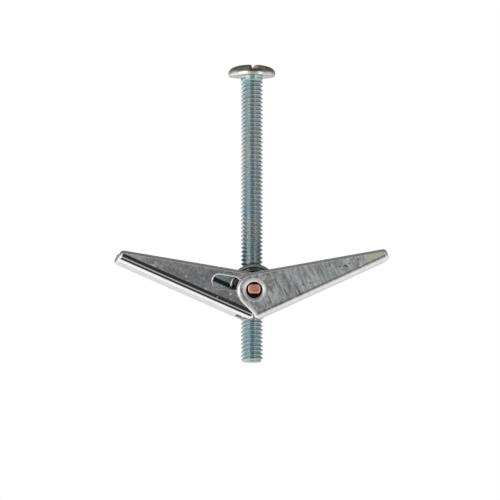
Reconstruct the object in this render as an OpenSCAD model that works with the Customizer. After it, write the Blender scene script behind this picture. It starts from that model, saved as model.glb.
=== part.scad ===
// Spring toggle wall anchor: a slotted machine screw, a barrel nut with two pins,
// two folding channel wings and the torsion spring that throws them open.
// Origin: centre of the head's bearing face. +Z points out of the head, the wings
// spread along X, and they hinge about a line parallel to Y.

/* [Screw] */
// Nominal thread diameter
thread_d = 4; // [3.8:0.05:4.2]
// Thread pitch
pitch = 0.7; // [0.5:0.05:0.8]
// Length under the head
screw_len = 50; // [46:0.5:80]
// Head diameter
head_d = 8.2; // [7:0.1:10]
// Head height
head_h = 2.05; // [1.7:0.05:3]
// Straight rim below the dome
rim_h = 0.55; // [0.3:0.05:0.8]
// Driver slot width
slot_w = 1.2; // [0.8:0.1:1.6]
// Driver slot depth
slot_depth = 1.0; // [0.6:0.05:1.2]
// Turn of the driver slot about the screw
slot_turn = 4; // [-90:1:90]
// Chamfer at the tip
tip_chamfer = 0.4; // [0.1:0.05:0.8]
// Plain neck between the head and the first thread
neck_h = 0.35; // [0.2:0.05:0.6]
// Chamfer under the head's rim, on the radius
rim_chamfer = 0.2; // [0.05:0.05:0.5]

/* [Barrel nut] */
// Distance from the head down to the hinge line
hinge_drop = 37.5; // [33:0.5:40]
// Barrel diameter
barrel_d = 6.5; // [6:0.1:7]
// Pin diameter at each end of the barrel
pin_d = 2.5; // [2:0.05:2.8]
// Thickness across the two flats of a pin
pin_flats = 1.7; // [1.2:0.05:2]
// Play between pin and wing hole, on the radius
pin_play = 0.17; // [0.05:0.01:0.3]
// Play between thread crest and nut, on the radius
thread_play = 0.05; // [0.02:0.01:0.1]
// How far a pin's end stays inside the outer ear's face
pin_recess = 0.25; // [0.05:0.05:0.4]

/* [Wings] */
// Sheet thickness
sheet = 0.7; // [0.5:0.05:0.8]
// Angle of an open wing above square to the screw
open_angle = 24.3; // [20:0.1:30]
// Hinge line to the tip, along the spine
wing_len = 24; // [20:0.5:30]
// Radius of the ear round the hinge hole
ear_r = 3.1; // [2.7:0.05:3.3]
// Height of the tip over the spine's outer face
tip_h = 2.14; // [1.8:0.02:3.4]
// Outer radius of the bend between spine and plates
bend_r = 1; // [0.8:0.05:1.2]
// Rounding of the tip's free corner
tip_round = 0.7; // [0.4:0.05:0.9]
// Side play between pieces along the hinge line
side_play = 0.1; // [0.05:0.01:0.15]
// Depth of the countersink in an outer ear
sink_depth = 0.4; // [0.2:0.05:0.45]
// Width of the countersink's cone, on the radius
sink_w = 0.62; // [0.3:0.02:0.8]
// Window width in an inner plate
window_w = 2.1; // [1.4:0.1:2.4]
// Hinge line to the middle of the window's near end, along the spine
window_near = 3.7; // [3.4:0.1:4]
// Hinge line to the middle of the window's far end, along the spine
window_far = 6.2; // [5:0.1:8]
// Gap left where the two spines meet
meet_gap = 0.04; // [0.02:0.01:0.2]
// Room beside the screw in the notch of a spine
notch_side = 0.4; // [0.2:0.05:0.8]
// Room beyond the screw in the notch of a spine
notch_deep = 0.6; // [0.3:0.05:1.2]

/* [Spring] */
// Wire diameter
wire_d = 0.7; // [0.5:0.05:0.8]
// Room between barrel and coil, on the radius
coil_play = 0.35; // [0.2:0.05:0.4]
// How far the coil floats to the right of the hinge line
coil_dx = 0.2; // [0:0.05:0.2]
// How far the coil floats above the hinge line
coil_dz = 0.25; // [0.2:0.05:0.25]
// Length of each straight leg
leg_len = 9; // [6:0.5:12]
// Play between a leg and the spine that it lies along
leg_play = 0.045; // [0.02:0.005:0.2]

/* [Hidden] */

// Thread form: a 60 degree ridge with a flat crest and a flat root.
ridge_share = 0.6134;
crest_r = thread_d / 2;
thread_h = ridge_share * pitch;
root_r = crest_r - thread_h;
crest_flat = pitch / 8;
root_flat = pitch / 4;

// Stack along the hinge line, from the screw outwards, on one side.
lane_in = crest_r + side_play;
barrel_half = lane_in + wire_d + 2 * side_play;
inner_face = barrel_half + side_play;
inner_out = inner_face + sheet;
outer_face = inner_out + side_play;
outer_out = outer_face + sheet;
pin_end = outer_out - pin_recess;
wire_y = lane_in + wire_d / 2 + side_play / 2;

// Spring: the coil's centre line.
coil_r = barrel_d / 2 + coil_play + wire_d / 2;

// Wing outline, in wing coordinates: u along the spine, n towards the free edge.
leg_depth = coil_r + wire_d / 2 + coil_dx * sin(open_angle) - coil_dz * cos(open_angle);
spine_in = leg_depth + leg_play;
spine_drop = spine_in + sheet;
hole_r = pin_d / 2 + pin_play;
u_root = (meet_gap - spine_in * sin(open_angle)) / cos(open_angle);
tip_u = wing_len - tip_round;
tip_n = tip_h - tip_round - spine_drop;
edge_turn = atan2(tip_n, tip_u) + acos((ear_r - tip_round) / norm([tip_u, tip_n]));
corner_dist = norm([u_root, spine_in]);
corner_turn = atan2(-spine_in, u_root) - acos(ear_r / corner_dist);
notch_u = (crest_r + notch_deep - spine_in * sin(open_angle)) / cos(open_angle);
notch_half = crest_r + notch_side;
window_n = [-0.35, -1.0];

$fn = 64;

// A point at a radius and an angle.
function polar(r, a) = [r * cos(a), r * sin(a)];

// Half outline of one thread ridge, starting at height z.
function ridge(z) = [
    [root_r, z],
    [root_r, z + root_flat],
    [crest_r, z + (pitch + root_flat - crest_flat) / 2],
    [crest_r, z + (pitch + root_flat + crest_flat) / 2]
];

// Half outline of the head's dome, a quarter round pushed out to a flatter top.
dome_steps = 18;
dome_out = 0.72;
dome_up = 0.92;
function dome() = [
    for (i = [0 : dome_steps])
        let (a = 90 * i / dome_steps)
        [head_d / 2 * pow(cos(a), dome_out), rim_h + (head_h - rim_h) * pow(sin(a), dome_up)]
];

module bolt() {
    turns = floor((screw_len - tip_chamfer - neck_h - root_flat) / pitch);
    runout = -screw_len + tip_chamfer + turns * pitch;
    ridges = [for (i = [0 : turns - 1]) each ridge(-screw_len + tip_chamfer + i * pitch)];
    color("lightsteelblue")
    difference() {
        union() {
            rotate_extrude()
            polygon(concat(
                [[0, -screw_len], [crest_r - tip_chamfer, -screw_len]],
                ridges,
                [[root_r, runout], [root_r, -neck_h - root_flat], [crest_r, -neck_h]],
                [[crest_r, rim_h], [0, rim_h]]
            ));
            rotate_extrude()
            polygon(concat([[0, 0], [head_d / 2 - rim_chamfer, 0]], dome()));
        }
        rotate([0, 0, slot_turn])
        translate([-slot_w / 2, -head_d, head_h - slot_depth])
        cube([slot_w, 2 * head_d, 2 * slot_depth]);
    }
}

// A round bar along Y, centred on the hinge line.
module y_bar(r, half) {
    rotate([90, 0, 0])
    cylinder(h = 2 * half, r = r, center = true);
}

module trunnion_nut() {
    color("peru")
    translate([0, 0, -hinge_drop])
    difference() {
        union() {
            y_bar(barrel_d / 2, barrel_half);
            intersection() {
                y_bar(pin_d / 2, pin_end);
                cube([2 * pin_d, 3 * pin_end, pin_flats], center = true);
            }
        }
        cylinder(h = 2 * barrel_d, r = crest_r + thread_play, center = true);
    }
}

// Side view of a wing: ear, tapering plate and rounded tip.
module wing_outline() {
    circle(r = ear_r);
    translate([tip_u, tip_n])
    circle(r = tip_round);
    polygon([
        polar(ear_r, corner_turn),
        [u_root, -spine_in],
        [u_root, -spine_drop],
        [wing_len, -spine_drop],
        [wing_len, tip_n],
        [tip_u, tip_n] + polar(tip_round, edge_turn),
        polar(ear_r, edge_turn)
    ]);
}

// A box with its two lower edges rounded, running from y0 to y1 and up from the given floor.
module trough(y0, y1, floor_n, r) {
    top = 3 * ear_r;
    translate([y0 + r, floor_n])
    circle(r = r);
    translate([y1 - r, floor_n])
    circle(r = r);
    translate([y0, floor_n])
    square([y1 - y0, top]);
    translate([y0 + r, floor_n - r])
    square([y1 - y0 - 2 * r, top]);
}

// Cross-section of the bent sheet: outer ear at the front, inner ear at the back.
module wing_section() {
    inner_bend = bend_r - sheet;
    difference() {
        trough(-outer_out, inner_out, -spine_drop + bend_r, bend_r);
        trough(-outer_face, inner_face, -spine_in + inner_bend, inner_bend);
    }
}

// The opening punched in the inner plate.
module window() {
    run = [window_far - window_near, window_n[1] - window_n[0]];
    translate([window_near, window_n[0]])
    rotate(atan2(run[1], run[0])) {
        circle(d = window_w);
        translate([norm(run), 0])
        circle(d = window_w);
        translate([0, -window_w / 2])
        square([norm(run), window_w]);
    }
}

// A wing in its own coordinates: hinge line on Y, spine below, tip towards +X.
module wing() {
    difference() {
        intersection() {
            translate([0, inner_out + 1, 0])
            rotate([90, 0, 0])
            linear_extrude(height = inner_out + outer_out + 2)
            wing_outline();
            translate([u_root - 5, 0, 0])
            rotate([90, 0, 90])
            linear_extrude(height = wing_len - u_root + 10)
            wing_section();
        }
        y_bar(hole_r, 2 * outer_out);
        translate([0, -outer_out + sink_depth, 0])
        rotate([90, 0, 0])
        cylinder(h = 2 * sink_depth, r1 = hole_r, r2 = hole_r + 2 * sink_w);
        translate([u_root - 1, -notch_half, -2 * spine_drop])
        cube([notch_u - u_root + 1, 2 * notch_half, 2 * spine_drop - ear_r]);
        translate([0, 2 * inner_out, 0])
        rotate([90, 0, 0])
        linear_extrude(height = 2 * inner_out)
        window();
    }
}

module right_wing() {
    color("slategray")
    translate([0, 0, -hinge_drop])
    rotate([0, -open_angle, 0])
    wing();
}

module left_wing() {
    color("dimgray")
    translate([0, 0, -hinge_drop])
    rotate([0, 0, 180])
    rotate([0, -open_angle, 0])
    wing();
}

// Part of one turn of wire, at the given place along the hinge line.
module wire_arc(y, from, sweep) {
    translate([0, y, 0])
    rotate([90, 0, 0])
    rotate([0, 0, from])
    rotate_extrude(angle = sweep)
    translate([coil_r, 0])
    circle(d = wire_d);
}

// A straight leg that leaves the coil below and runs out along a wing's spine.
module wire_leg(y, side) {
    translate([0, y, 0])
    rotate([0, -side * open_angle, 0])
    translate([0, 0, -coil_r])
    rotate([0, side * 90, 0])
    cylinder(h = leg_len, d = wire_d);
}

module torsion_spring() {
    front_from = -90 - open_angle;
    color("gray")
    translate([coil_dx, 0, coil_dz - hinge_drop]) {
        wire_leg(-wire_y, -1);
        wire_arc(-wire_y, front_from, 180 - front_from);
        translate([-coil_r, 0, 0])
        y_bar(wire_d / 2, wire_y + wire_d / 2);
        wire_arc(wire_y, 180, 90 + open_angle);
        wire_leg(wire_y, 1);
    }
}

bolt();
trunnion_nut();
left_wing();
right_wing();
torsion_spring();
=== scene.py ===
"""Spring toggle wall anchor: plated machine screw, copper-washed barrel nut, two folding channel
wings and the wire spring that throws them open. Shapes are drawn in millimetres and set down in
the frame in metres. Angles are in degrees."""

import math

import bmesh
import bpy
from mathutils import Matrix, Vector


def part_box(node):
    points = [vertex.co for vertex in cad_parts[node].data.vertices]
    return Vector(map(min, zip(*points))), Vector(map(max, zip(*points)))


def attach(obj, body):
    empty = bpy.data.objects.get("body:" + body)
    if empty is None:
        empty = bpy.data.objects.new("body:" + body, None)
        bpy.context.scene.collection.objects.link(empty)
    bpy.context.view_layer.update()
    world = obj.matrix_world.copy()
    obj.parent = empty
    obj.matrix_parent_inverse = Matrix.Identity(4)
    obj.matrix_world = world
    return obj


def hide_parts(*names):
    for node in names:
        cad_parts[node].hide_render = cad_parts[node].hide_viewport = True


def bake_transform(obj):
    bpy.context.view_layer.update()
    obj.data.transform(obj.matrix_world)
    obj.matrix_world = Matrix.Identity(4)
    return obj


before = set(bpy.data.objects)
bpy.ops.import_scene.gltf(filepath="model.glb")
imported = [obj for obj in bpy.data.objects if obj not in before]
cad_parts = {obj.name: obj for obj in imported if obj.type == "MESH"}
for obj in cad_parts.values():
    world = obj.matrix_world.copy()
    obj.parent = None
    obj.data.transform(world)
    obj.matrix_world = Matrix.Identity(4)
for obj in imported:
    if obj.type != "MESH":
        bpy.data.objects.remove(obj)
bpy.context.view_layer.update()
MM = 0.001


# -------------------- sizes, in millimetres

def node_box(node):
    """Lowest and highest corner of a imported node, in millimetres."""
    low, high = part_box(node)
    return low / MM, high / MM


BOLT_LOW, BOLT_HIGH = node_box("bolt")
NUT_LOW, NUT_HIGH = node_box("trunnion_nut")
HINGE_Z = (NUT_LOW.z + NUT_HIGH.z) / 2

# Points closer than TINY are one point, and a point within NEAR of a face counts as on it.
TINY = 1e-4
NEAR = 1e-3

# Screw
HEAD_R = BOLT_HIGH.x
HEAD_H = BOLT_HIGH.z
SCREW_END = BOLT_LOW.z
RIM_H = 0.55
RIM_CHAMFER = 0.2
DOME_OUT = 0.72
DOME_UP = 0.92
SLOT_W = 1.2
SLOT_DEPTH = 1.0
SLOT_CORNER = 0.18
SLOT_TURN = 4
HEAD_SOFT = 0.18
PITCH = 0.7
CREST_R = 1.93
ROOT_R = 1.55
# One pitch of the rolled thread: share of the pitch, share of the thread's depth
RIDGE = ((0.0, 0.0), (0.1, 0.05), (0.38, 0.86), (0.45, 0.98), (0.55, 0.98), (0.62, 0.86), (0.9, 0.05))
# The helix begins LEAD_TURNS below the tip, has SPARE_TURNS to spare, and is flattened at its ends.
LEAD_TURNS = 1.5
SPARE_TURNS = 3
NECK_H = 0.35
TIP_CHAMFER = 0.42
# The sheared tip: share of its radius that is hollow, and the depth of the hollow's edge and middle
TIP_HOLLOW = 0.8
TIP_HOLLOW_EDGE = 0.04
TIP_HOLLOW_MIDDLE = 0.09
SEAT_WELD = 2e-3
ROUND_STEPS = 72

# Barrel nut
BARREL_R = (NUT_HIGH.z - NUT_LOW.z) / 2
BARREL_HALF = 3.0
BARREL_ROUND = 0.3
BARREL_STEPS = 96
PIN_END = NUT_HIGH.y
PIN_R = 1.1
PIN_FLAT = 0.79
PIN_SOFT = 0.2
NUT_SOFT = 0.08
NUT_BORE = 2.05

# Wings, in wing coordinates: u along the spine, n towards the free edge, y along the hinge
OPEN_ANGLE = 24.3
SHEET = 0.7
WING_LEN = 24.0
EAR_R = 3.1
SPINE_OUT = 4.9
SPINE_IN = SPINE_OUT - SHEET
BEND_R = 1.0
TIP_ROUND = 0.7
HEEL_RISE = 0.45
TIP_H = 2.14
OUTER_PLATE = (-4.6, -3.9)
INNER_PLATE = (3.1, 3.8)
HOLE_R = 1.42
SINK_R = 2.04
SINK_DEPTH = 0.4
# The countersink's cutter goes on past the face by this much, outwards and along the hinge.
SINK_OVER = (0.2, 0.13)
WINDOW_R = 1.05
WINDOW_ENDS = ((3.7, -0.35), (6.2, -1.0))
U_ROOT = -1.853
NOTCH_U = 0.956
NOTCH_HALF = 2.4
# How far the cutters reach past the sheet
CUT_PAST = 8
# The stamped edges: widest roll, on the outer skin, and the share that the other edges have
WIDE_ROLL = 0.58
SMALL_ROLL = 0.15
SINK_ROLL = 0.35
WINDOW_ROLL = 0.6
# How far from the hole, the window, the notch and the bend an edge still belongs to them
SINK_MARGIN = 0.25
SINK_LIP = 0.1
WINDOW_MARGIN = 1.2 * WINDOW_R
NOTCH_MARGIN = 0.05
BEND_MARGIN = 0.02
# The wings hang a little on the pins, and no two open quite alike.
HANG = 0.2
LEFT_SAG = 0.87
RIGHT_LIFT = 0.5

# Spring
WIRE_R = 0.35
COIL_R = 3.9
COIL_X = 0.1
COIL_Z = HINGE_Z + 0.25
WIRE_Y = 2.5
# The front turn winds forwards, so that the left leg can pass the bridge when the wing folds.
FRONT_TURN_Y = ((180.0, -1.98), (150.0, -2.12), (90.0, -2.42), (0.0, -2.6), (-120.0, -2.72))
LEFT_LEG_LEAN = OPEN_ANGLE - 3.2
RIGHT_LEG_LEAN = OPEN_ANGLE - 1.4
CORNER_R = 0.6
WIRE_SIDES = 20
# A free end: length of its small round, and share of the wire's radius that is left there
DRESSED_LEN = 0.12
DRESSED_SHARE = 0.72
LEG_LEN = 9.0
# Where the rings of a leg's wire lie along it
LEG_RINGS = (0.3, 1.5, 4.5, LEG_LEN - 1.5, LEG_LEN - DRESSED_LEN, LEG_LEN)


# -------------------- mesh tools

def arc(centre, radius, start, end, steps):
    """Points on a round stretch of an outline, with its two ends."""
    turns = [math.radians(start + (end - start) * i / steps) for i in range(steps + 1)]
    return [(centre[0] + radius * math.cos(t), centre[1] + radius * math.sin(t)) for t in turns]


def smooth_step(x):
    """0 below 0, 1 above 1, and an easy curve between."""
    x = max(0.0, min(1.0, x))
    return x * x * (3 - 2 * x)


def lathe(profile, steps):
    """A turned solid about Z from (radius, height) pairs."""
    bm = bmesh.new()
    rings = []
    for radius, height in profile:
        count = steps if radius > TINY else 1
        turns = [2 * math.pi * i / steps for i in range(count)]
        rings.append([bm.verts.new((radius * math.cos(t), radius * math.sin(t), height)) for t in turns])
    for below, above in zip(rings, rings[1:]):
        for i in range(steps):
            j = i + 1
            low_side = [below[i % len(below)], below[j % len(below)]]
            high_side = [above[j % len(above)], above[i % len(above)]]
            corners = list(dict.fromkeys(low_side + high_side))
            if len(corners) > 2:
                bm.faces.new(corners)
    return bm


def prism(outline, low, high):
    """A flat outline drawn in X and Y, raised from low to high along Z."""
    bm = bmesh.new()
    floor = [bm.verts.new((x, y, low)) for x, y in outline]
    roof = [bm.verts.new((x, y, high)) for x, y in outline]
    bm.faces.new(list(reversed(floor)))
    bm.faces.new(roof)
    for i in range(len(outline)):
        j = (i + 1) % len(outline)
        bm.faces.new([floor[i], floor[j], roof[j], roof[i]])
    return bm


def placed(name, data):
    """A new object in the scene that holds a mesh, a lamp or a camera."""
    made = bpy.data.objects.new(name, data)
    bpy.context.scene.collection.objects.link(made)
    return made


def piece(name, bm):
    """A Blender object, still in millimetres, from a finished bmesh."""
    bmesh.ops.recalc_face_normals(bm, faces=bm.faces)
    mesh = bpy.data.meshes.new(name)
    bm.to_mesh(mesh)
    bm.free()
    return placed(name, mesh)


def settle_modifiers(made):
    """Turns an object's modifiers into its own mesh."""
    depsgraph = bpy.context.evaluated_depsgraph_get()
    mesh = bpy.data.meshes.new_from_object(made.evaluated_get(depsgraph))
    old = made.data
    made.modifiers.clear()
    made.data = mesh
    bpy.data.meshes.remove(old)
    return made


def drop(spent):
    """Deletes an object and its mesh."""
    mesh = spent.data
    bpy.data.objects.remove(spent)
    bpy.data.meshes.remove(mesh)


def combine(made, tool_bm, operation):
    """Cuts, joins or intersects a piece with a tool shape, which is used up."""
    tool = piece("tool", tool_bm)
    step = made.modifiers.new(operation.lower(), "BOOLEAN")
    step.operation = operation
    step.solver = "EXACT"
    step.object = tool
    settle_modifiers(made)
    drop(tool)
    return made


def soften(made, width, segments=3, limit=35):
    """Rounds every edge that turns by more than the limit."""
    step = made.modifiers.new("soften", "BEVEL")
    step.width = width
    step.segments = segments
    step.limit_method = "ANGLE"
    step.angle_limit = math.radians(limit)
    step.use_clamp_overlap = True
    return settle_modifiers(made)


def roll_edges(made, width, share_of, segments=4, limit=40):
    """Rounds each sharp edge by its own share of the width. The new faces are marked, to take the painted
    edge highlight.
    """
    bm = bmesh.new()
    bm.from_mesh(made.data)
    weight = bm.edges.layers.float.new("bevel_weight_edge")
    for edge in bm.edges:
        if edge.calc_face_angle(0) > math.radians(limit):
            edge[weight] = share_of((edge.verts[0].co + edge.verts[1].co) / 2)
    bm.to_mesh(made.data)
    bm.free()
    made.data.materials.append(None)
    made.data.materials.append(None)
    step = made.modifiers.new("roll", "BEVEL")
    step.width = width
    step.segments = segments
    step.limit_method = "WEIGHT"
    step.material = 1
    step.use_clamp_overlap = False
    settle_modifiers(made)
    highlit_edge = made.data.attributes.new("highlit_edge", "FLOAT", "FACE")
    highlit_edge.data.foreach_set("value", [float(face.material_index) for face in made.data.polygons])
    made.data.polygons.foreach_set("material_index", [0] * len(made.data.polygons))
    made.data.materials.clear()
    return made


def to_frame(made, place=Matrix.Identity(4), sharp=40):
    """Sets a piece down in the frame, in metres, with smooth shading up to the given angle."""
    made.data.transform(place)
    made.data.transform(Matrix.Scale(MM, 4))
    made.data.shade_smooth()
    made.data.set_sharp_from_angle(angle=math.radians(sharp))
    step = made.modifiers.new("even_shading", "WEIGHTED_NORMAL")
    step.keep_sharp = True
    step.weight = 80
    settle_modifiers(made)
    made.data.name = made.name
    return made


def turned(bm, matrix):
    """Turns a whole bmesh, and returns it."""
    bmesh.ops.transform(bm, matrix=matrix, verts=bm.verts)
    return bm


Z_TO_Y = Matrix.Rotation(math.radians(90), 4, "X")


# -------------------- screw

def dome_profile(steps=24):
    """The head's half outline, from the middle of its underside up to the crown."""
    outline = [(0, 0), (CREST_R, 0), (HEAD_R - RIM_CHAMFER, 0)]
    outline += arc((HEAD_R - RIM_CHAMFER, RIM_CHAMFER), RIM_CHAMFER, -60, 0, 3)
    for i in range(steps + 1):
        t = math.pi / 2 * i / steps
        radius = HEAD_R * max(0.0, math.cos(t)) ** DOME_OUT
        outline.append((radius if i < steps else 0, RIM_H + (HEAD_H - RIM_H) * math.sin(t) ** DOME_UP))
    return outline


def screw_head():
    """Domed head with its driver slot, open below where the shank joins it."""
    head = piece("head", lathe(dome_profile(), ROUND_STEPS))
    half = SLOT_W / 2
    corner_z = HEAD_H - SLOT_DEPTH + SLOT_CORNER
    outline = [(half, 2 * HEAD_H), (-half, 2 * HEAD_H)]
    outline += arc((-half + SLOT_CORNER, corner_z), SLOT_CORNER, 180, 270, 5)
    outline += arc((half - SLOT_CORNER, corner_z), SLOT_CORNER, 270, 360, 5)
    cutter = prism(outline, -2 * HEAD_R, 2 * HEAD_R)
    stand = Matrix.Rotation(math.radians(SLOT_TURN), 4, "Z") @ Z_TO_Y
    combine(head, turned(cutter, stand), "DIFFERENCE")
    return soften(head, HEAD_SOFT, segments=3, limit=38)


def shank_radius(radius, z):
    """The thread's radius after the tip's chamfer and the run-out under the head."""
    radius = min(radius, CREST_R - TIP_CHAMFER + (z - SCREW_END))
    fade = smooth_step((z + NECK_H + PITCH) / PITCH)
    return radius + (CREST_R - radius) * fade


def threaded_shank(bm):
    """Adds a right-hand helical thread from the tip up to the head's bearing face."""
    ridge = [(share, ROOT_R + (CREST_R - ROOT_R) * height) for share, height in RIDGE]
    turns = int(-SCREW_END / PITCH) + SPARE_TURNS
    last = turns * ROUND_STEPS
    rows = []
    for step in range(last + 1):
        angle = 2 * math.pi * step / ROUND_STEPS
        row = []
        for share, radius in ridge:
            z = SCREW_END + PITCH * (step / ROUND_STEPS - LEAD_TURNS + share)
            z = max(SCREW_END, min(0.0, z))
            r = shank_radius(radius, z)
            row.append(bm.verts.new((r * math.cos(angle), r * math.sin(angle), z)))
        rows.append(row)
    for step in range(last):
        here, after = rows[step], rows[step + 1]
        for k in range(len(ridge) - 1):
            bm.faces.new([here[k], after[k], after[k + 1], here[k + 1]])
        if step + 1 + ROUND_STEPS <= last:
            above = rows[step + ROUND_STEPS]
            above_after = rows[step + 1 + ROUND_STEPS]
            bm.faces.new([here[-1], after[-1], above_after[0], above[0]])
    bmesh.ops.remove_doubles(bm, verts=bm.verts, dist=TINY)
    bmesh.ops.dissolve_degenerate(bm, edges=bm.edges, dist=TINY)


def close_tip(bm):
    """Closes the sheared end of the screw with a slightly hollow face."""
    rim = [v for v in bm.verts if abs(v.co.z - SCREW_END) < TINY and v.is_boundary]
    rim.sort(key=lambda v: math.atan2(v.co.y, v.co.x))
    inner = []
    for v in rim:
        x, y = v.co.x * TIP_HOLLOW, v.co.y * TIP_HOLLOW
        inner.append(bm.verts.new((x, y, SCREW_END + TIP_HOLLOW_EDGE)))
    middle = bm.verts.new((0, 0, SCREW_END + TIP_HOLLOW_MIDDLE))
    for i in range(len(rim)):
        j = (i + 1) % len(rim)
        bm.faces.new([rim[j], rim[i], inner[i], inner[j]])
        bm.faces.new([inner[j], inner[i], middle])


def build_bolt():
    """The whole machine screw as one closed surface."""
    head = screw_head()
    bm = bmesh.new()
    threaded_shank(bm)
    close_tip(bm)
    bm.from_mesh(head.data)
    drop(head)
    buried = [
        f for f in bm.faces
        if all(abs(v.co.z) < TINY and v.co.xy.length < CREST_R + NEAR for v in f.verts)
    ]
    bmesh.ops.delete(bm, geom=buried, context="FACES")
    seat = [v for v in bm.verts if abs(v.co.z) < TINY]
    bmesh.ops.remove_doubles(bm, verts=seat, dist=SEAT_WELD)
    return to_frame(piece("machine_screw", bm), sharp=50)


# -------------------- barrel nut

def build_nut():
    """Barrel with a flattened pin at each end and the screw's cross hole."""
    half = BARREL_HALF - BARREL_ROUND
    profile = [(0, -BARREL_HALF)]
    profile += arc((BARREL_R - BARREL_ROUND, -half), BARREL_ROUND, -90, 0, 5)
    profile += arc((BARREL_R - BARREL_ROUND, half), BARREL_ROUND, 0, 90, 5)
    profile.append((0, BARREL_HALF))
    nut = piece("barrel_nut", turned(lathe(profile, BARREL_STEPS), Z_TO_Y))
    turn = math.degrees(math.asin(PIN_FLAT / PIN_R))
    outline = arc((0, 0), PIN_R, -turn, turn, 10) + arc((0, 0), PIN_R, 180 - turn, 180 + turn, 10)
    pins = piece("pins", turned(prism(outline, -PIN_END, PIN_END), Z_TO_Y))
    soften(pins, PIN_SOFT, segments=4, limit=40)
    bm = bmesh.new()
    bm.from_mesh(pins.data)
    drop(pins)
    combine(nut, bm, "UNION")
    mouth = BARREL_R * 1.2
    bore = lathe([(0, -mouth), (NUT_BORE, -mouth), (NUT_BORE, mouth), (0, mouth)], ROUND_STEPS)
    combine(nut, bore, "DIFFERENCE")
    soften(nut, NUT_SOFT, segments=2, limit=45)
    return to_frame(nut, Matrix.Translation((0, 0, HINGE_Z)))


# -------------------- wings

def wing_side():
    """Side outline of a wing: ear, straight free edge, rounded tip and spine."""
    tip = (WING_LEN - TIP_ROUND, TIP_H - TIP_ROUND - SPINE_OUT)
    to_tip = math.atan2(tip[1], tip[0])
    edge_turn = math.degrees(to_tip + math.acos((EAR_R - TIP_ROUND) / math.hypot(*tip)))
    heel = HEEL_RISE - SPINE_IN
    corner = math.degrees(math.atan2(heel, U_ROOT) - math.acos(EAR_R / math.hypot(U_ROOT, heel)))
    outline = [(U_ROOT, -SPINE_OUT - 1), (WING_LEN, -SPINE_OUT - 1)]
    outline += arc(tip, TIP_ROUND, 0, edge_turn, 8)
    outline += arc((0, 0), EAR_R, edge_turn, corner + 360, 36)
    outline.append((U_ROOT, heel))
    return outline


def wing_section():
    """Cross-section of the bent sheet: two plates, and the spine between them."""
    top = 2 * EAR_R
    inner_bend = BEND_R - SHEET
    outer_low = -SPINE_OUT + BEND_R
    inner_low = -SPINE_IN + inner_bend
    outline = [(OUTER_PLATE[0], top)]
    outline += arc((OUTER_PLATE[0] + BEND_R, outer_low), BEND_R, 180, 270, 14)
    outline += arc((INNER_PLATE[1] - BEND_R, outer_low), BEND_R, 270, 360, 14)
    outline += [(INNER_PLATE[1], top), (INNER_PLATE[0], top)]
    outline += arc((INNER_PLATE[0] - inner_bend, inner_low), inner_bend, 360, 270, 8)
    outline += arc((OUTER_PLATE[1] + inner_bend, inner_low), inner_bend, 270, 180, 8)
    outline.append((OUTER_PLATE[1], top))
    return outline


def edge_share(point):
    """How far a wing's edge is rolled, as a share of the widest roll."""
    u, y, n = point
    outer_low = -SPINE_OUT + BEND_R
    on_plate = y < OUTER_PLATE[0] + NEAR or y > INNER_PLATE[1] - NEAR
    across = min(y - OUTER_PLATE[0], INNER_PLATE[1] - y)
    from_bend = math.hypot(max(0.0, BEND_R - across), outer_low - n)
    on_bend = n < outer_low and from_bend > BEND_R - BEND_MARGIN
    from_hole = math.hypot(u, n)
    if from_hole < SINK_R + SINK_MARGIN:
        return SINK_ROLL if from_hole > SINK_R - SINK_LIP else SMALL_ROLL
    (u0, n0), (u1, n1) = WINDOW_ENDS
    beside_window = u0 - WINDOW_MARGIN < u < u1 + WINDOW_MARGIN
    if y > 0 and beside_window and n1 - WINDOW_MARGIN < n < n0 + WINDOW_MARGIN:
        return WINDOW_ROLL
    if abs(y) < NOTCH_HALF + NOTCH_MARGIN and u < NOTCH_U + NOTCH_MARGIN:
        return SMALL_ROLL
    return 1.0 if on_plate or on_bend else SMALL_ROLL


def window_outline():
    """The opening punched in the inner plate, a slanted slot with round ends."""
    (u0, n0), (u1, n1) = WINDOW_ENDS
    lean = math.degrees(math.atan2(n1 - n0, u1 - u0))
    far_end = arc((u1, n1), WINDOW_R, lean - 90, lean + 90, 14)
    return far_end + arc((u0, n0), WINDOW_R, lean + 90, lean + 270, 14)


def build_wing(name, left, trim):
    """One folding wing, bent from sheet, at its open angle plus a small trim."""
    wing = piece(name, turned(prism(wing_side(), -CUT_PAST, CUT_PAST), Z_TO_Y))
    along = Matrix(((0, 0, 1, 0), (1, 0, 0, 0), (0, 1, 0, 0), (0, 0, 0, 1)))
    combine(wing, turned(prism(wing_section(), -CUT_PAST, WING_LEN + CUT_PAST), along), "INTERSECT")
    far, face = -(CUT_PAST + 1), -OUTER_PLATE[0]
    sink_end = face + SINK_OVER[1]
    hole = [(0, far), (HOLE_R, far), (HOLE_R, face - SINK_DEPTH)]
    hole += [(SINK_R + SINK_OVER[0], sink_end), (0, sink_end)]
    combine(wing, turned(lathe(hole, steps=64), Z_TO_Y), "DIFFERENCE")
    combine(wing, turned(prism(window_outline(), -CUT_PAST, 0), Z_TO_Y), "DIFFERENCE")
    root = U_ROOT - 1
    box = [(root, -NOTCH_HALF), (NOTCH_U, -NOTCH_HALF), (NOTCH_U, NOTCH_HALF), (root, NOTCH_HALF)]
    combine(wing, prism(box, -2 * SPINE_OUT, -EAR_R), "DIFFERENCE")
    roll_edges(wing, WIDE_ROLL, edge_share)
    turn = Matrix.Rotation(math.radians(180 if left else 0), 4, "Z")
    open_up = Matrix.Rotation(-math.radians(OPEN_ANGLE + trim), 4, "Y")
    return to_frame(wing, Matrix.Translation((0, 0, HINGE_Z - HANG)) @ turn @ open_up, sharp=35)


# -------------------- spring

def coil_point(angle, y):
    """A point of the coil's centre line. The angle is as seen from the front."""
    t = math.radians(angle)
    return Vector((COIL_X + COIL_R * math.cos(t), y, COIL_Z + COIL_R * math.sin(t)))


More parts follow.
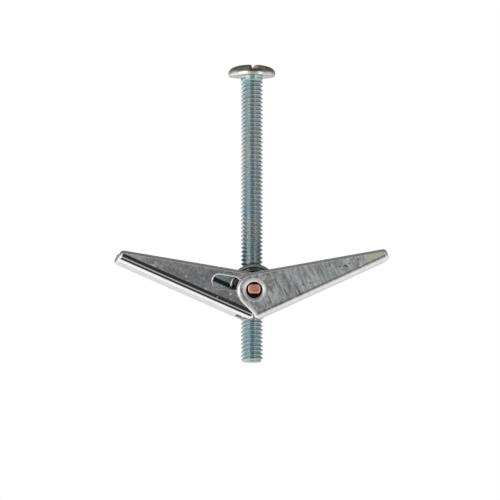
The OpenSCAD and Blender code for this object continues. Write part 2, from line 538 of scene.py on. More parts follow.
def front_turn_y(angle):
    """Where the front turn lies along the hinge at an angle."""
    if angle >= FRONT_TURN_Y[0][0]:
        return FRONT_TURN_Y[0][1]
    for (high, y_high), (low, y_low) in zip(FRONT_TURN_Y, FRONT_TURN_Y[1:]):
        if angle >= low:
            return y_low + (y_high - y_low) * (angle - low) / (high - low)
    return FRONT_TURN_Y[-1][1]


def coil_run(start, end, y=None, step=5.0):
    """Centre-line points of part of a turn. Without a y it is the front turn."""
    count = max(2, round(abs(end - start) / step))
    angles = [start + (end - start) * i / count for i in range(count + 1)]
    return [coil_point(angle, front_turn_y(angle) if y is None else y) for angle in angles]


def wire(name, path, free_ends=(False, False)):
    """A round wire along the path. A free end is dressed with a small round."""
    bm = bmesh.new()
    rings = []
    side = None
    for i, point in enumerate(path):
        ahead = (path[min(i + 1, len(path) - 1)] - path[max(i - 1, 0)]).normalized()
        side = ahead.orthogonal() if side is None else side - ahead * side.dot(ahead)
        side = side.normalized()
        up = ahead.cross(side)
        dressed = (i == 0 and free_ends[0]) or (i == len(path) - 1 and free_ends[1])
        radius = WIRE_R * (DRESSED_SHARE if dressed else 1.0)
        ring = []
        for k in range(WIRE_SIDES):
            t = 2 * math.pi * k / WIRE_SIDES
            ring.append(bm.verts.new(point + (side * math.cos(t) + up * math.sin(t)) * radius))
        rings.append(ring)
    for here, after in zip(rings, rings[1:]):
        for k in range(WIRE_SIDES):
            j = (k + 1) % WIRE_SIDES
            bm.faces.new([here[k], here[j], after[j], after[k]])
    bm.faces.new(list(reversed(rings[0])))
    bm.faces.new(rings[-1])
    return to_frame(piece(name, bm), sharp=60)


def leg(side, lean, y):
    """Straight leg points from the coil's lowest tangent out to rest on one wing's spine."""
    t = math.radians(lean)
    ahead = Vector((side * math.cos(t), 0, math.sin(t)))
    start = coil_point(-90 + side * lean, y)
    return [start] + [start + ahead * s for s in LEG_RINGS]


def bridge_path():
    """The short stretch that carries the wire from the front turn to the rear one."""
    reach = COIL_R - math.sqrt(COIL_R ** 2 - CORNER_R ** 2)
    front = front_turn_y(180.0)
    points = []
    for y, z in arc((front + CORNER_R, CORNER_R), CORNER_R, 180, 270, 8):
        points.append(Vector((COIL_X - COIL_R + reach * z / CORNER_R, y, COIL_Z + z)))
    for y, z in arc((WIRE_Y - CORNER_R, -CORNER_R), CORNER_R, 90, 0, 8):
        points.append(Vector((COIL_X - COIL_R + reach * -z / CORNER_R, y, COIL_Z + z)))
    return points


def build_spring():
    """The spring in five lengths that meet end to end, so that the legs and the bridge can each follow a
    body; the two turns are left in the frame.
    """
    corner = math.degrees(math.asin(CORNER_R / COIL_R))
    left_start = -90 - LEFT_LEG_LEAN
    run = leg(-1, LEFT_LEG_LEAN, front_turn_y(left_start))
    left_leg = wire("spring_leg_left", list(reversed(run[1:])) + coil_run(left_start, 0), (True, False))
    front_turn = wire("spring_turn_front", coil_run(0, 180 - corner))
    bridge = wire("spring_bridge", bridge_path())
    right_start = 270 + RIGHT_LEG_LEAN
    rear_turn = wire("spring_turn_rear", coil_run(180 + corner, right_start, WIRE_Y))
    right_leg = wire("spring_leg_right", leg(1, RIGHT_LEG_LEAN, WIRE_Y), (False, True))
    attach(left_leg, "left_wing")
    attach(bridge, "nut")
    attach(right_leg, "right_wing")
    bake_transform(front_turn)
    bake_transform(rear_turn)
    return [left_leg, front_turn, bridge, rear_turn, right_leg]


# -------------------- shader tools

def add(tree, kind, **settings):
    """Adds a node and sets its plain properties."""
    node = tree.nodes.new("ShaderNode" + kind)
    for key, value in settings.items():
        setattr(node, key, value)
    return node


def feed(tree, slot, value):
    """Links a socket into an input, or sets the input to a number, a vector or a tint."""
    if isinstance(value, bpy.types.NodeSocket):
        tree.links.new(value, slot)
    elif slot.type == "RGBA":
        slot.default_value = (*value, 1.0)
    else:
        slot.default_value = value


def remap(tree, source, low, high, to_low=0.0, to_high=1.0):
    """Maps a value from low..high to another span, and holds it there."""
    node = add(tree, "MapRange")
    values = {"Value": source, "From Min": low, "From Max": high, "To Min": to_low, "To Max": to_high}
    for key, value in values.items():
        feed(tree, node.inputs[key], value)
    return node.outputs["Result"]


def remap_mm(tree, source, low, high, to_low=0.0, to_high=1.0):
    """The same for a length, with low and high in millimetres."""
    return remap(tree, source, low * MM, high * MM, to_low, to_high)


def math_node(tree, operation, *operands):
    """A Math node. Each operand is a socket or a number."""
    node = add(tree, "Math", operation=operation)
    for slot, value in zip(node.inputs, operands):
        feed(tree, slot, value)
    return node.outputs["Value"]


def product(tree, *factors):
    """All the factors multiplied together."""
    total = factors[0]
    for factor in factors[1:]:
        total = math_node(tree, "MULTIPLY", total, factor)
    return total


def span_mask(tree, source, low, high, fade):
    """1 while a length lies between low and high, with a fade at each end, in millimetres."""
    rising = remap_mm(tree, source, low - fade, low)
    falling = remap_mm(tree, source, high + fade, high)
    return product(tree, rising, falling)


def distance(tree, a, b):
    """The distance from an axis, from the two coordinates across it."""
    squares = [product(tree, value, value) for value in (a, b)]
    return math_node(tree, "SQRT", math_node(tree, "ADD", *squares))


def noise(tree, vector, scale, detail=4.0, rough=0.55):
    """A noise texture's value. The scale is in cells for each metre."""
    node = add(tree, "TexNoise")
    for key, value in {"Vector": vector, "Scale": scale, "Detail": detail, "Roughness": rough}.items():
        feed(tree, node.inputs[key], value)
    return node.outputs["Fac"]


def parts_of(tree, vector):
    """The X, Y and Z of a vector."""
    node = add(tree, "SeparateXYZ")
    feed(tree, node.inputs["Vector"], vector)
    return [node.outputs[axis] for axis in "XYZ"]


def mix_colour(tree, share, first, second, blend="MIX"):
    """A colour between two. The share and the colours are sockets or values."""
    node = add(tree, "Mix", data_type="RGBA", blend_type=blend)
    for place, value in ((0, share), (6, first), (7, second)):
        feed(tree, node.inputs[place], value)
    return node.outputs[2]


def layered(tree, colour, layers):
    """Lays tints over a colour in turn. A layer is (mask, most of the tint that shows, tint)."""
    for mask, most, tint in layers:
        share = mask if most == 1.0 else product(tree, mask, most)
        colour = mix_colour(tree, share, colour, tint)
    return colour


# -------------------- shared effects

SOCKETS = {"vector": "NodeSocketVector", "number": "NodeSocketFloat", "colour": "NodeSocketColor"}

# Where the marks and the painted light of a wing lie, in millimetres: along the wing, up from the hinge,
# and deep
GRAIN_FADES = (16.0, 4.0)
CHANNEL_WALL = (3.88, 3.92, 0.02)
# Painted shade: the dark band inside the channel beside the nut
SHADE_ALONG = (0.0, 7.6, 0.4)
SHADE_UP = (-0.5, 0.1, 0.2)
FRONT_FACE = (-3.5, -3.6)
STAIN_OUT = 3.6
STAIN_ALONG = (0.4, 1.4)
TIP_ALONG = (20.6, 22.6, 0.8)
TIP_UP = (-4.0, -3.6)
TIP_MOST = 0.65
TIP_WANDER = 0.6
BEND_FADE = 0.2
RING_FADE = 0.05


def new_group(name, inputs, outputs):
    """An empty shader node group: inputs are (name, kind, default), outputs are (name, kind)."""
    group = bpy.data.node_groups.new(name, "ShaderNodeTree")
    for label, kind, value in inputs:
        socket = group.interface.new_socket(label, in_out="INPUT", socket_type=SOCKETS[kind])
        if value is not None:
            socket.default_value = value
    for label, kind in outputs:
        group.interface.new_socket(label, in_out="OUTPUT", socket_type=SOCKETS[kind])
    given, out = group.nodes.new("NodeGroupInput"), group.nodes.new("NodeGroupOutput")
    return group, given.outputs, out.inputs


def put_out(group, out, **results):
    """Links a group's results to its outputs. Underscores in a key stand for spaces."""
    for key, value in results.items():
        group.links.new(value, out[key.replace("_", " ")])
    return group


def grain_group():
    """Brushed or drawn lines: noise stretched along one direction."""
    inputs = [
        ("Vector", "vector", None), ("Stretch", "vector", (300.0, 300.0, 4000.0)),
        ("Break Up", "number", 0.4),
    ]
    group, given, out = new_group("drawn_lines", inputs, [("Lines", "number")])
    stretched = add(group, "VectorMath", operation="MULTIPLY")
    feed(group, stretched.inputs[0], given["Vector"])
    feed(group, stretched.inputs[1], given["Stretch"])
    fine = noise(group, stretched.outputs[0], 1.0, 5.0, 0.65)
    patch = remap(group, noise(group, given["Vector"], 420.0, 3.0), 0.35, 0.65)
    shown = math_node(group, "SUBTRACT", 1.0, product(group, patch, given["Break Up"]))
    return put_out(group, out, Lines=product(group, remap(group, fine, 0.38, 0.6), shown))


def plating_group():
    """Passivated plating: three tints that drift into each other in blotches."""
    inputs = [
        ("Vector", "vector", None), ("Main", "colour", (0.6, 0.65, 0.66, 1)),
        ("Cool", "colour", (0.5, 0.62, 0.66, 1)), ("Warm", "colour", (0.62, 0.58, 0.46, 1)),
        ("Warm Amount", "number", 0.5),
    ]
    group, given, out = new_group("plating_tint", inputs, [("Colour", "colour"), ("Blotch", "number")])
    broad = noise(group, given["Vector"], 180.0, 3.0)
    small = noise(group, given["Vector"], 900.0, 4.0)
    cool = mix_colour(group, remap(group, broad, 0.4, 0.62), given["Main"], given["Cool"])
    amount = product(group, remap(group, small, 0.52, 0.72), given["Warm Amount"])
    return put_out(group, out, Colour=mix_colour(group, amount, cool, given["Warm"]), Blotch=small)


def specks_group():
    """Small dark pits and stains, scattered by cells and thinned out by noise."""
    inputs = [("Vector", "vector", None), ("Scale", "number", 900.0), ("Size", "number", 0.22)]
    group, given, out = new_group("specks", inputs, [("Mask", "number")])
    cells = add(group, "TexVoronoi")
    feed(group, cells.inputs["Vector"], given["Vector"])
    feed(group, cells.inputs["Scale"], given["Scale"])
    near = math_node(group, "LESS_THAN", cells.outputs["Distance"], given["Size"])
    thin = remap(group, noise(group, given["Vector"], 260.0, 2.0), 0.55, 0.62)
    return put_out(group, out, Mask=product(group, near, thin))


def zones_group():
    """The places of a wing that take marks and painted light, as masks: its face, bend, channel, hole and
    sink.
    """
    inputs = [("Vector", "vector", None), ("Side", "number", 1.0), ("Bend From", "number", -4.1 * MM)]
    masks = ("Near Hinge", "Front", "Bend", "Inside", "Oily", "Hole", "Sink", "Beside Hole")
    outputs = [(label, "number") for label in ("Along", "Up") + masks]
    group, given, out = new_group("wing_zones", inputs, outputs)
    along, deep, z = parts_of(group, given["Vector"])
    up = product(group, z, given["Side"])
    inside = span_mask(group, math_node(group, "ABSOLUTE", deep), *CHANNEL_WALL)
    beside_nut = product(group, span_mask(group, along, *SHADE_ALONG), span_mask(group, up, *SHADE_UP))
    bend_full = math_node(group, "SUBTRACT", given["Bend From"], BEND_FADE * MM)
    away = distance(group, along, z)
    around = span_mask(group, away, SINK_R, STAIN_OUT, RING_FADE)
    return put_out(
        group, out, Along=along, Up=up,
        Near_Hinge=remap_mm(group, along, *GRAIN_FADES, 0.7, 1.0),
        Front=remap_mm(group, deep, *FRONT_FACE),
        Bend=remap(group, up, given["Bend From"], bend_full),
        Inside=inside,
        Oily=product(group, inside, beside_nut),
        Hole=span_mask(group, away, 0.0, HOLE_R, RING_FADE),
        Sink=span_mask(group, away, HOLE_R, SINK_R, RING_FADE),
        Beside_Hole=product(group, around, remap_mm(group, along, *STAIN_ALONG)),
    )


def mottle_group():
    """Patchy marks of a wing: cloudy and frosted plating, the tip's patch, the hinge's stain."""
    inputs = [
        ("Vector", "vector", None), ("Along", "number", 0.0), ("Up", "number", 0.0),
        ("Beside Hole", "number", 0.0), ("Cloud Most", "number", 0.2), ("Frost Most", "number", 0.25),
    ]
    outputs = [(label, "number") for label in ("Cloud", "Frost", "Tip Patch", "Hinge Stain")]
    group, given, out = new_group("wing_mottle", inputs, outputs)
    vector = given["Vector"]
    cloud = remap(group, noise(group, vector, 330.0, 3.0), 0.36, 0.64, 0.0, given["Cloud Most"])
    frost = remap(group, noise(group, vector, 2400.0, 2.0), 0.42, 0.58, 0.0, given["Frost Most"])
    wander = remap(group, cloud, 0.0, 0.3, -TIP_WANDER * MM, TIP_WANDER * MM)
    blurred = math_node(group, "ADD", given["Along"], wander)
    tip_edge = remap_mm(group, given["Up"], *TIP_UP, 0.0, TIP_MOST)
    patches = remap(group, noise(group, vector, 620.0, 3.0), 0.46, 0.56)
    return put_out(
        group, out, Cloud=cloud, Frost=frost,
        Tip_Patch=product(group, span_mask(group, blurred, *TIP_ALONG), tip_edge),
        Hinge_Stain=product(group, given["Beside Hole"], patches),
    )


def fold_reflection_group():
    """Painted reflection: a band along the fold of a wing's front face, between two heights."""
    inputs = [(label, "number", 0.0) for label in ("Front", "Up", "Low", "High", "Fade")]
    group, given, out = new_group("fold_reflection_band", inputs, [("Mask", "number")])
    low, high, fade = given["Low"], given["High"], given["Fade"]
    rising = remap(group, given["Up"], math_node(group, "SUBTRACT", low, fade), low)
    falling = remap(group, given["Up"], math_node(group, "ADD", high, fade), high)
    return put_out(group, out, Mask=product(group, given["Front"], rising, falling))


def edge_highlight_group():
    """Painted highlight: the rolled edges and the sink around the pin's hole taken towards a near-white
    tint.
    """
    inputs = [
        ("Colour", "colour", (0.6, 0.65, 0.66, 1)), ("Edges", "number", 0.0), ("Sink", "number", 0.0),
        ("Amount", "number", 0.9), ("Bare", "colour", (0.97, 0.96, 0.95, 1)),
    ]
    group, given, out = new_group("edge_highlight", inputs, [("Colour", "colour")])
    highlit = math_node(group, "MAXIMUM", given["Edges"], given["Sink"])
    share = product(group, highlit, given["Amount"])
    return put_out(group, out, Colour=mix_colour(group, share, given["Colour"], given["Bare"]))


GROUPS = {
    "lines": grain_group(), "plating": plating_group(), "specks": specks_group(), "zones": zones_group(),
    "mottle": mottle_group(), "fold": fold_reflection_group(), "edge_highlight": edge_highlight_group(),
}


def use_group(tree, name, **values):
    """Places one of the shared groups, and returns its outputs. Underscores stand for spaces."""
    node = add(tree, "Group")
    node.node_tree = GROUPS[name]
    for key, value in values.items():
        feed(tree, node.inputs[key.replace("_", " ")], value)
    return node.outputs


# -------------------- materials

# Tints of the marks and of the painted light and shade, as red, green and blue
DOME_LIGHT = (0.66, 0.64, 0.56)
DOME_DARK = (0.34, 0.32, 0.26)
# Painted highlight round the rim of the screw's head
RIM_HIGHLIGHT = (0.84, 0.83, 0.79)
# Painted shade, brown, along the slot of the head
SLOT_SHADE_BROWN = (0.26, 0.17, 0.11)
UNDER_HEAD = (0.50, 0.50, 0.49)
THREAD_PIT = (0.10, 0.09, 0.07)
LINE_SHADE = (0.12, 0.13, 0.13)
CLOUD_SHADE = (0.16, 0.17, 0.17)
FROST_SHADE = (0.20, 0.20, 0.21)
SCORE_BRIGHT = (0.95, 0.96, 0.95)
HINGE_BROWN = (0.34, 0.27, 0.20)
# Painted reflection: bright teal on the channel's inner walls
CHANNEL_TEAL_REFLECTION = (0.78, 1.0, 1.0)
# Painted shade, nearly black, inside the channel beside the nut
CHANNEL_SHADE_BLACK = (0.02, 0.03, 0.03)
SHEET_PIT = (0.05, 0.04, 0.03)
NICK_BRIGHT = (0.98, 0.98, 0.97)
# Painted shade, nearly black, in the bore of the pin's hole
HOLE_SHADE = (0.04, 0.03, 0.03)
# Painted highlight on the rolled edges and in the sink
EDGE_HIGHLIGHT_TINT = (0.97, 0.96, 0.95)
# Painted highlight round the rims of the pins' ends
PIN_RIM_HIGHLIGHT = (1.0, 0.84, 0.76)
# Painted shade: the barrel, deep in its recess, nearly black
BARREL_SHADE = (0.05, 0.02, 0.015)
FLOOR_TINTS = ((0.86, 0.86, 0.85), (0.90, 0.90, 0.89))

# The screw's marks and painted light, in millimetres from its seat, its axis or its middle plane
DOME_FROM = (0.4, 0.7)
RIM_HIGHLIGHT_SPAN = (-0.1, 0.5, 0.1)
SLOT_SHADE_ACROSS = (-0.7, 0.4, 0.3)
SLOT_SHADE_UP = (0.7, 1.6, 0.3)
UNDER_SPAN = (-0.1, 0.05, 0.03)
UNDER_FROM = (1.1 * CREST_R, 1.15 * CREST_R)
# Where the barrel's painted shade gives way to the pin's copper along the pin, and how far the pins'
# painted rim highlight reaches in from the edge
PIN_BRIGHT_FROM = (BARREL_HALF + 0.2, BARREL_HALF + 0.8)
RIM_REACH = (0.28, 0.14)

# Each wing's own finish and painted light. Grain is in lines for each metre. The bend tint is a painted
# highlight, and a fold is a painted reflection band: (low, high, fade, most, tint).
LEFT_LOOKS = {
    "side": -1.0, "turn": 180 - (OPEN_ANGLE - LEFT_SAG), "bend_from": -4.25,
    "main": (0.70, 0.70, 0.72), "cool": (0.64, 0.68, 0.72), "warm": (0.62, 0.56, 0.47),
    "grain": (330.0, 500.0, 1800.0), "line_share": 0.8, "cloud": 0.35, "frost": 0.5,
    "tip": (0.66, 0.67, 0.70), "bend": (0.97, 0.97, 0.97), "rough": 0.24,
    "folds": ((-4.4, -3.4, 0.12, 1.0, (0.07, 0.065, 0.06)), (-4.12, -3.96, 0.06, 1.0, (0.98, 0.98, 0.98))),
}
RIGHT_LOOKS = {
    "side": 1.0, "turn": OPEN_ANGLE + RIGHT_LIFT, "bend_from": -4.1,
    "main": (0.95, 1.0, 1.0), "cool": (0.88, 0.98, 1.0), "warm": (0.96, 0.90, 0.80),
    "grain": (1900.0, 500.0, 360.0), "line_share": 0.95, "cloud": 0.2, "frost": 0.25,
    "tip": (0.96, 0.92, 0.56), "bend": (0.96, 0.91, 0.89), "rough": 0.34,
    "folds": ((-4.1, -3.9, 0.1, 0.5, (0.1, 0.1, 0.1)),),
}


def start_material(name, metallic=1.0):
    """A material with a Principled shader. Returns material, tree, shader."""
    material = bpy.data.materials.new(name)
    material.use_nodes = True
    tree = material.node_tree
    tree.nodes.clear()
    out = add(tree, "OutputMaterial")
    shader = add(tree, "BsdfPrincipled")
    shader.inputs["Metallic"].default_value = metallic
    tree.links.new(shader.outputs["BSDF"], out.inputs["Surface"])
    return material, tree, shader


def placed_vector(tree, turn=0.0, height=0.0):
    """Object coordinates in metres, from a height on Z and turned about Y."""
    mapping = add(tree, "Mapping", vector_type="POINT")
    t = math.radians(turn)
    feed(tree, mapping.inputs["Vector"], add(tree, "TexCoord").outputs["Object"])
    feed(tree, mapping.inputs["Rotation"], (0, t, 0))
    feed(tree, mapping.inputs["Location"], Matrix.Rotation(t, 3, "Y") @ Vector((0, 0, -height)))
    return mapping.outputs["Vector"]


def add_bump(tree, shader, height, strength, depth):
    """Feeds a height into the shader's normal. Depth is in millimetres."""
    bump = add(tree, "Bump")
    feed(tree, bump.inputs["Strength"], strength)
    feed(tree, bump.inputs["Distance"], depth * MM)
    feed(tree, bump.inputs["Height"], height)
    feed(tree, shader.inputs["Normal"], bump.outputs["Normal"])


def coat(tree, shader, colour, rough):
    """Gives the shader its colour and its roughness."""
    feed(tree, shader.inputs["Base Color"], colour)
    feed(tree, shader.inputs["Roughness"], rough)


def by_blotch(tree, plating, low, high):
    """A value that goes from low to high with the plating's blotches."""
    return remap(tree, plating["Blotch"], 0.3, 0.7, low, high)


def screw_zinc():
    """Blue-passivated zinc on the screw: teal bloom, olive stains, fine rolling marks, a painted highlight
    round the head's rim and painted brown shade along the slot.
    """
    material, tree, shader = start_material("screw_zinc")
    vector = placed_vector(tree)
    x, y, z = parts_of(tree, vector)
    plating = use_group(
        tree, "plating", Vector=vector,
        Main=(0.50, 0.56, 0.57), Cool=(0.40, 0.54, 0.57), Warm=(0.47, 0.44, 0.33), Warm_Amount=0.6,
    )
    lines = use_group(tree, "lines", Vector=vector, Stretch=(500.0, 500.0, 5200.0), Break_Up=0.5)
    specks = use_group(tree, "specks", Vector=vector, Scale=1500.0, Size=0.2)
    on_head = remap_mm(tree, z, *DOME_FROM)
    dome = mix_colour(tree, remap(tree, plating["Blotch"], 0.42, 0.6), DOME_LIGHT, DOME_DARK)
    # Painted shade: a brown band across the dome where the slot runs
    slot_shade = product(tree, span_mask(tree, x, *SLOT_SHADE_ACROSS), span_mask(tree, z, *SLOT_SHADE_UP))
    beside = remap_mm(tree, distance(tree, x, y), *UNDER_FROM)
    colour = layered(tree, plating["Colour"], [
        (on_head, 1.0, dome),
        # Painted highlight: a near-white band round the rim of the head
        (span_mask(tree, z, *RIM_HIGHLIGHT_SPAN), 1.0, RIM_HIGHLIGHT),
        # Painted brown shade along the slot
        (slot_shade, 0.75, SLOT_SHADE_BROWN),
        (product(tree, beside, span_mask(tree, z, *UNDER_SPAN)), 1.0, UNDER_HEAD),
        (specks["Mask"], 0.7, THREAD_PIT),
    ])
    rough = math_node(tree, "ADD", by_blotch(tree, plating, 0.20, 0.36), product(tree, on_head, -0.06))
    coat(tree, shader, colour, rough)
    add_bump(tree, shader, lines["Lines"], strength=0.35, depth=0.02)
    return material


def wing_zinc(name, looks):
    """Zinc-plated sheet: rolling lines, blotched bloom, pits and stains, with painted highlights on the
    rolled edges, the sink and the bend, painted reflections in the channel and along the fold, and painted
    shade in the bore and beside the nut.
    """
    material, tree, shader = start_material(name)
    vector = placed_vector(tree, looks["turn"], (HINGE_Z - HANG) * MM)
    zones = use_group(tree, "zones", Vector=vector, Side=looks["side"], Bend_From=looks["bend_from"] * MM)
    plating = use_group(
        tree, "plating", Vector=vector,
        Main=looks["main"], Cool=looks["cool"], Warm=looks["warm"], Warm_Amount=0.8,
    )
    mottle = use_group(
        tree, "mottle", Vector=vector, Along=zones["Along"], Up=zones["Up"],
        Beside_Hole=zones["Beside Hole"], Cloud_Most=looks["cloud"], Frost_Most=looks["frost"],
    )
    lines = use_group(tree, "lines", Vector=vector, Stretch=looks["grain"], Break_Up=0.5)
    finer = tuple(1.7 * lines_per_metre for lines_per_metre in looks["grain"])
    scores = use_group(tree, "lines", Vector=vector, Stretch=finer, Break_Up=1.0)
    pits = use_group(tree, "specks", Vector=vector, Scale=1100.0, Size=0.2)
    nicks = use_group(tree, "specks", Vector=vector, Scale=760.0, Size=0.16)
    drawn = product(tree, lines["Lines"], zones["Near Hinge"])
    layers = [
        (drawn, looks["line_share"], LINE_SHADE),
        (mottle["Cloud"], 1.0, CLOUD_SHADE),
        (mottle["Frost"], 1.0, FROST_SHADE),
        (remap(tree, scores["Lines"], 0.55, 0.9, 0.0, 0.8), 1.0, SCORE_BRIGHT),
        (mottle["Tip Patch"], 1.0, looks["tip"]),
        (mottle["Hinge Stain"], 0.7, HINGE_BROWN),
        # Painted reflection: the channel's inner walls tinted bright teal
        (zones["Inside"], 0.95, CHANNEL_TEAL_REFLECTION),
        # Painted shade: a nearly black band on the channel wall beside the nut
        (zones["Oily"], 0.97, CHANNEL_SHADE_BLACK),
        (pits["Mask"], 0.85, SHEET_PIT),
        # Painted highlight: the outer bend of the spine whitened
        (zones["Bend"], 0.8, looks["bend"]),
    ]
    # Painted reflections: dark and light bands along the fold of the front face
    for low, high, fade, most, tint in looks["folds"]:
        band = use_group(
            tree, "fold", Front=zones["Front"], Up=zones["Up"],
            Low=low * MM, High=high * MM, Fade=fade * MM,
        )
        layers.append((band["Mask"], most, tint))
    # Nicks are real; the bore of the pin's hole is painted nearly black for its shade
    layers += [(nicks["Mask"], 0.9, NICK_BRIGHT), (zones["Hole"], 1.0, HOLE_SHADE)]
    # Painted highlight: the rolled edges and the sink taken towards near white
    highlit_edge = add(tree, "Attribute", attribute_name="highlit_edge").outputs["Fac"]
    highlighted = use_group(
        tree, "edge_highlight", Colour=layered(tree, plating["Colour"], layers), Edges=highlit_edge,
        Sink=zones["Sink"], Amount=0.9, Bare=EDGE_HIGHLIGHT_TINT,
    )
    sheet_rough = by_blotch(tree, plating, looks["rough"] - 0.07, looks["rough"] + 0.07)
    rough = math_node(tree, "ADD", sheet_rough, product(tree, zones["Sink"], 0.12))
    coat(tree, shader, highlighted["Colour"], rough)
    relief = math_node(tree, "ADD", drawn, plating["Blotch"])
    add_bump(tree, shader, relief, strength=0.5, depth=0.04)
    return material


def nut_copper():
    """Copper wash over steel on the pins, with a painted highlight round their rims; the barrel is painted
    nearly black for the shade of its recess.
    """
    material, tree, shader = start_material("nut_copper")
    vector = placed_vector(tree)
    x, y, z = parts_of(tree, vector)
    plating = use_group(
        tree, "plating", Vector=vector,
        Main=(1.0, 0.38, 0.25), Cool=(0.92, 0.27, 0.16), Warm=(1.0, 0.62, 0.46), Warm_Amount=0.8,
    )
    lines = use_group(tree, "lines", Vector=vector, Stretch=(2500.0, 400.0, 2500.0), Break_Up=0.4)
    on_pin = remap_mm(tree, math_node(tree, "ABSOLUTE", y), *PIN_BRIGHT_FROM)
    up = math_node(tree, "ADD", z, -HINGE_Z * MM)
    flat_from, flat_full = [PIN_FLAT - reach for reach in RIM_REACH]
    round_from, round_full = [PIN_R - reach for reach in RIM_REACH]
    near_flat = remap_mm(tree, math_node(tree, "ABSOLUTE", up), flat_from, flat_full)
    near_round = remap_mm(tree, distance(tree, x, up), round_from, round_full)
    rim = math_node(tree, "MAXIMUM", near_flat, near_round)
    # Painted highlight: the rim of each pin's end taken towards peach
    pin_tint = layered(tree, plating["Colour"], [(rim, 0.8, PIN_RIM_HIGHLIGHT)])
    # Painted shade: the barrel nearly black, and the pins copper
    colour = mix_colour(tree, on_pin, BARREL_SHADE, pin_tint)
    coat(tree, shader, colour, by_blotch(tree, plating, 0.26, 0.42))
    add_bump(tree, shader, lines["Lines"], strength=0.4, depth=0.03)
    return material


def spring_wire():
    """Drawn spring wire: bright grey with die lines along it."""
    material, tree, shader = start_material("spring_wire")
    vector = placed_vector(tree)
    plating = use_group(
        tree, "plating", Vector=vector,
        Main=(0.55, 0.54, 0.52), Cool=(0.42, 0.44, 0.45), Warm=(0.40, 0.34, 0.27), Warm_Amount=0.5,
    )
    lines = use_group(tree, "lines", Vector=vector, Stretch=(900.0, 7000.0, 900.0), Break_Up=0.3)
    coat(tree, shader, plating["Colour"], remap(tree, lines["Lines"], 0.0, 1.0, 0.16, 0.30))
    add_bump(tree, shader, lines["Lines"], strength=0.3, depth=0.01)
    return material


def pale_floor():
    """Matt pale floor with a faint mottle."""
    material, tree, shader = start_material("pale_floor", metallic=0.0)
    mottle = remap(tree, noise(tree, placed_vector(tree), 14.0, 3.0), 0.3, 0.7)
    coat(tree, shader, mix_colour(tree, mottle, *FLOOR_TINTS), 0.7)
    return material


def finish_piece(made, material, slot, *nodes):
    """Gives a piece its material and hides the imported parts that it stands in for."""
    made.data.materials.clear()
    made.data.materials.append(material)
    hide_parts(*nodes)


# -------------------- studio

# Camera: turn about the screw, and its place in millimetres
CAMERA_TURN = 5.98
CAMERA_AWAY = 1297.2
CAMERA_ASIDE = -0.319
CAMERA_Z = -134.3
AIM_Z = -30.38
LENS_PER_WIDTH = 14.908
SENSOR = 36.0
CAMERA_SPAN = (0.01, 20.0)

# Lights: name, azimuth, elevation, distance, width and height in metres, power, seen in the metal
SOFT_BOXES = (
    ("left_front_box", -48, 2, 0.5, 0.42, 0.28, 0.52, True),
    ("right_front_box", 36, 2, 0.5, 0.12, 0.25, 0.12, True),
    ("top_box", 0, 80, 0.5, 0.4, 0.4, 2.2, False),
)

# The tent that the metal mirrors: (place from the front to the back, level)
LOW_LEVELS = ((0.0, 0.36), (0.1, 0.3), (0.22, 0.85), (0.4, 1.15), (0.7, 1.1), (1.0, 0.84))
HIGH_LEVELS = ((0.0, 0.54), (0.1, 0.46), (0.35, 0.44), (0.5, 0.75), (0.8, 0.4), (1.0, 0.35))
# The low levels lean to the right by LOW_SKEW. A span is from, to, and the levels at those two.
LOW_SKEW = 0.2
SIDE_SPAN = (-0.7, 0.7, 1.08, 0.8)
ROOF_SPAN = (0.14, 0.5, 1.0, 0.36)
HORIZON_SPAN = (-0.07, 0.05, 0.0, 1.0)

FLOOR_R = 0.3
FLOOR_DROP = 60


def aim(made, direction):
    """Turns a camera or a lamp to look along a direction."""
    made.rotation_mode = "QUATERNION"
    made.rotation_quaternion = direction.to_track_quat("-Z", "Y")


def build_camera():
    """Long lens, a little to the left and a little below the hinge."""
    data = bpy.data.cameras.new("camera")
    data.sensor_width = SENSOR
    data.lens = SENSOR * LENS_PER_WIDTH
    data.clip_start, data.clip_end = CAMERA_SPAN
    camera = placed("camera", data)
    turn = math.radians(CAMERA_TURN)
    c, s = math.cos(turn), math.sin(turn)
    away = Vector((c * CAMERA_ASIDE - s * CAMERA_AWAY, -s * CAMERA_ASIDE - c * CAMERA_AWAY, CAMERA_Z))
    ahead = Vector((s * CAMERA_AWAY, c * CAMERA_AWAY, AIM_Z - CAMERA_Z))
    camera.location = away * MM
    aim(camera, ahead)
    bpy.context.scene.camera = camera


def soft_box(name, azimuth, elevation, away, width, height, power, reflected):
    """A rectangular light aimed at the middle of the anchor."""
    data = bpy.data.lights.new(name, "AREA")
    data.shape = "RECTANGLE"
    data.size, data.size_y = width, height
    data.energy = power
    lamp = placed(name, data)
    a, e = math.radians(azimuth), math.radians(elevation)
    back = Vector((math.sin(a) * math.cos(e), -math.cos(a) * math.cos(e), math.sin(e)))
    lamp.location = Vector((0, 0, AIM_Z * MM)) + back * away
    aim(lamp, -back)
    lamp.visible_camera = False
    lamp.visible_glossy = reflected


def level_ramp(tree, source, stops):
    """A grey level that follows stops of (place, level)."""
    node = add(tree, "ValToRGB")
    tree.links.new(source, node.inputs["Fac"])
    elements = node.color_ramp.elements
    while len(elements) < len(stops):
        elements.new(0.5)
    for element, (place, level) in zip(elements, stops):
        element.position = place
        element.color = (level, level, level, 1)
    return node.outputs["Color"]


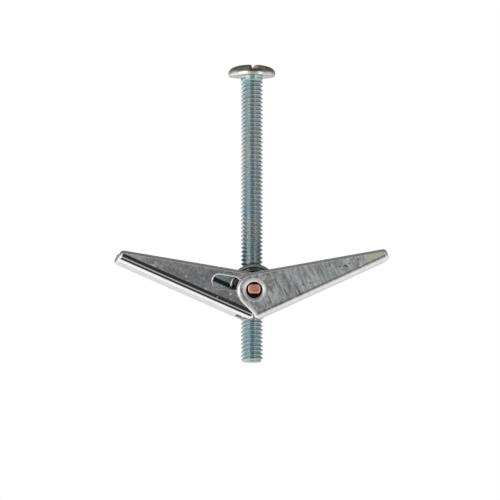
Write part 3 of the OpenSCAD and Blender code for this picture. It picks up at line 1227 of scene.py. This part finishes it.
def studio_world():
    """White tent, darker in front and above, as the metal sees it. The eye sees plain white."""
    world = bpy.data.worlds.new("studio")
    bpy.context.scene.world = world
    world.use_nodes = True
    tree = world.node_tree
    tree.nodes.clear()
    x, y, z = parts_of(tree, add(tree, "TexCoord").outputs["Generated"])
    deep = remap(tree, y, -1.0, 1.0)
    low = level_ramp(tree, math_node(tree, "ADD", deep, product(tree, x, LOW_SKEW)), LOW_LEVELS)
    high = level_ramp(tree, deep, HIGH_LEVELS)
    upper = mix_colour(tree, 1.0, high, remap(tree, z, *ROOF_SPAN), "MULTIPLY")
    around = mix_colour(tree, remap(tree, z, *HORIZON_SPAN), low, upper)
    lit = mix_colour(tree, 1.0, around, remap(tree, x, *SIDE_SPAN), "MULTIPLY")
    seen = add(tree, "Background")
    mirrored = add(tree, "Background")
    seen.inputs["Color"].default_value = (1, 1, 1, 1)
    tree.links.new(lit, mirrored.inputs["Color"])
    path = add(tree, "LightPath")
    mixed = add(tree, "MixShader")
    plain = math_node(tree, "MAXIMUM", path.outputs["Is Camera Ray"], path.outputs["Is Diffuse Ray"])
    tree.links.new(plain, mixed.inputs[0])
    tree.links.new(mirrored.outputs["Background"], mixed.inputs[1])
    tree.links.new(seen.outputs["Background"], mixed.inputs[2])
    out = add(tree, "OutputWorld")
    tree.links.new(mixed.outputs["Shader"], out.inputs["Surface"])


def build_floor():
    """A round pale floor below the anchor, which hangs in the air."""
    bm = bmesh.new()
    bmesh.ops.create_circle(bm, cap_ends=True, segments=96, radius=FLOOR_R)
    mesh = bpy.data.meshes.new("floor")
    bm.to_mesh(mesh)
    bm.free()
    floor = placed("floor", mesh)
    floor.location = (0, 0, (SCREW_END - FLOOR_DROP) * MM)
    floor.visible_glossy = False
    mesh.materials.append(pale_floor())


def build_studio():
    """Camera, lights, world and floor."""
    build_camera()
    studio_world()
    for box in SOFT_BOXES:
        soft_box(*box)
    build_floor()
    bpy.context.scene.view_settings.view_transform = "Standard"


# -------------------- the anchor

def build_anchor():
    """Every piece; each but the spring's two turns is put on its own body."""
    bolt = build_bolt()
    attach(bolt, "screw")
    finish_piece(bolt, screw_zinc(), "screw_zinc", "bolt")
    nut = build_nut()
    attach(nut, "nut")
    finish_piece(nut, nut_copper(), "nut_copper", "trunnion_nut")
    left = build_wing("wing_left", True, -LEFT_SAG)
    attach(left, "left_wing")
    finish_piece(left, wing_zinc("wing_zinc_left", LEFT_LOOKS), "wing_zinc_left", "left_wing")
    right = build_wing("wing_right", False, RIGHT_LIFT)
    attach(right, "right_wing")
    finish_piece(right, wing_zinc("wing_zinc_right", RIGHT_LOOKS), "wing_zinc_right", "right_wing")
    finish = spring_wire()
    for length in build_spring():
        finish_piece(length, finish, "spring_wire", "torsion_spring")


build_anchor()
build_studio()
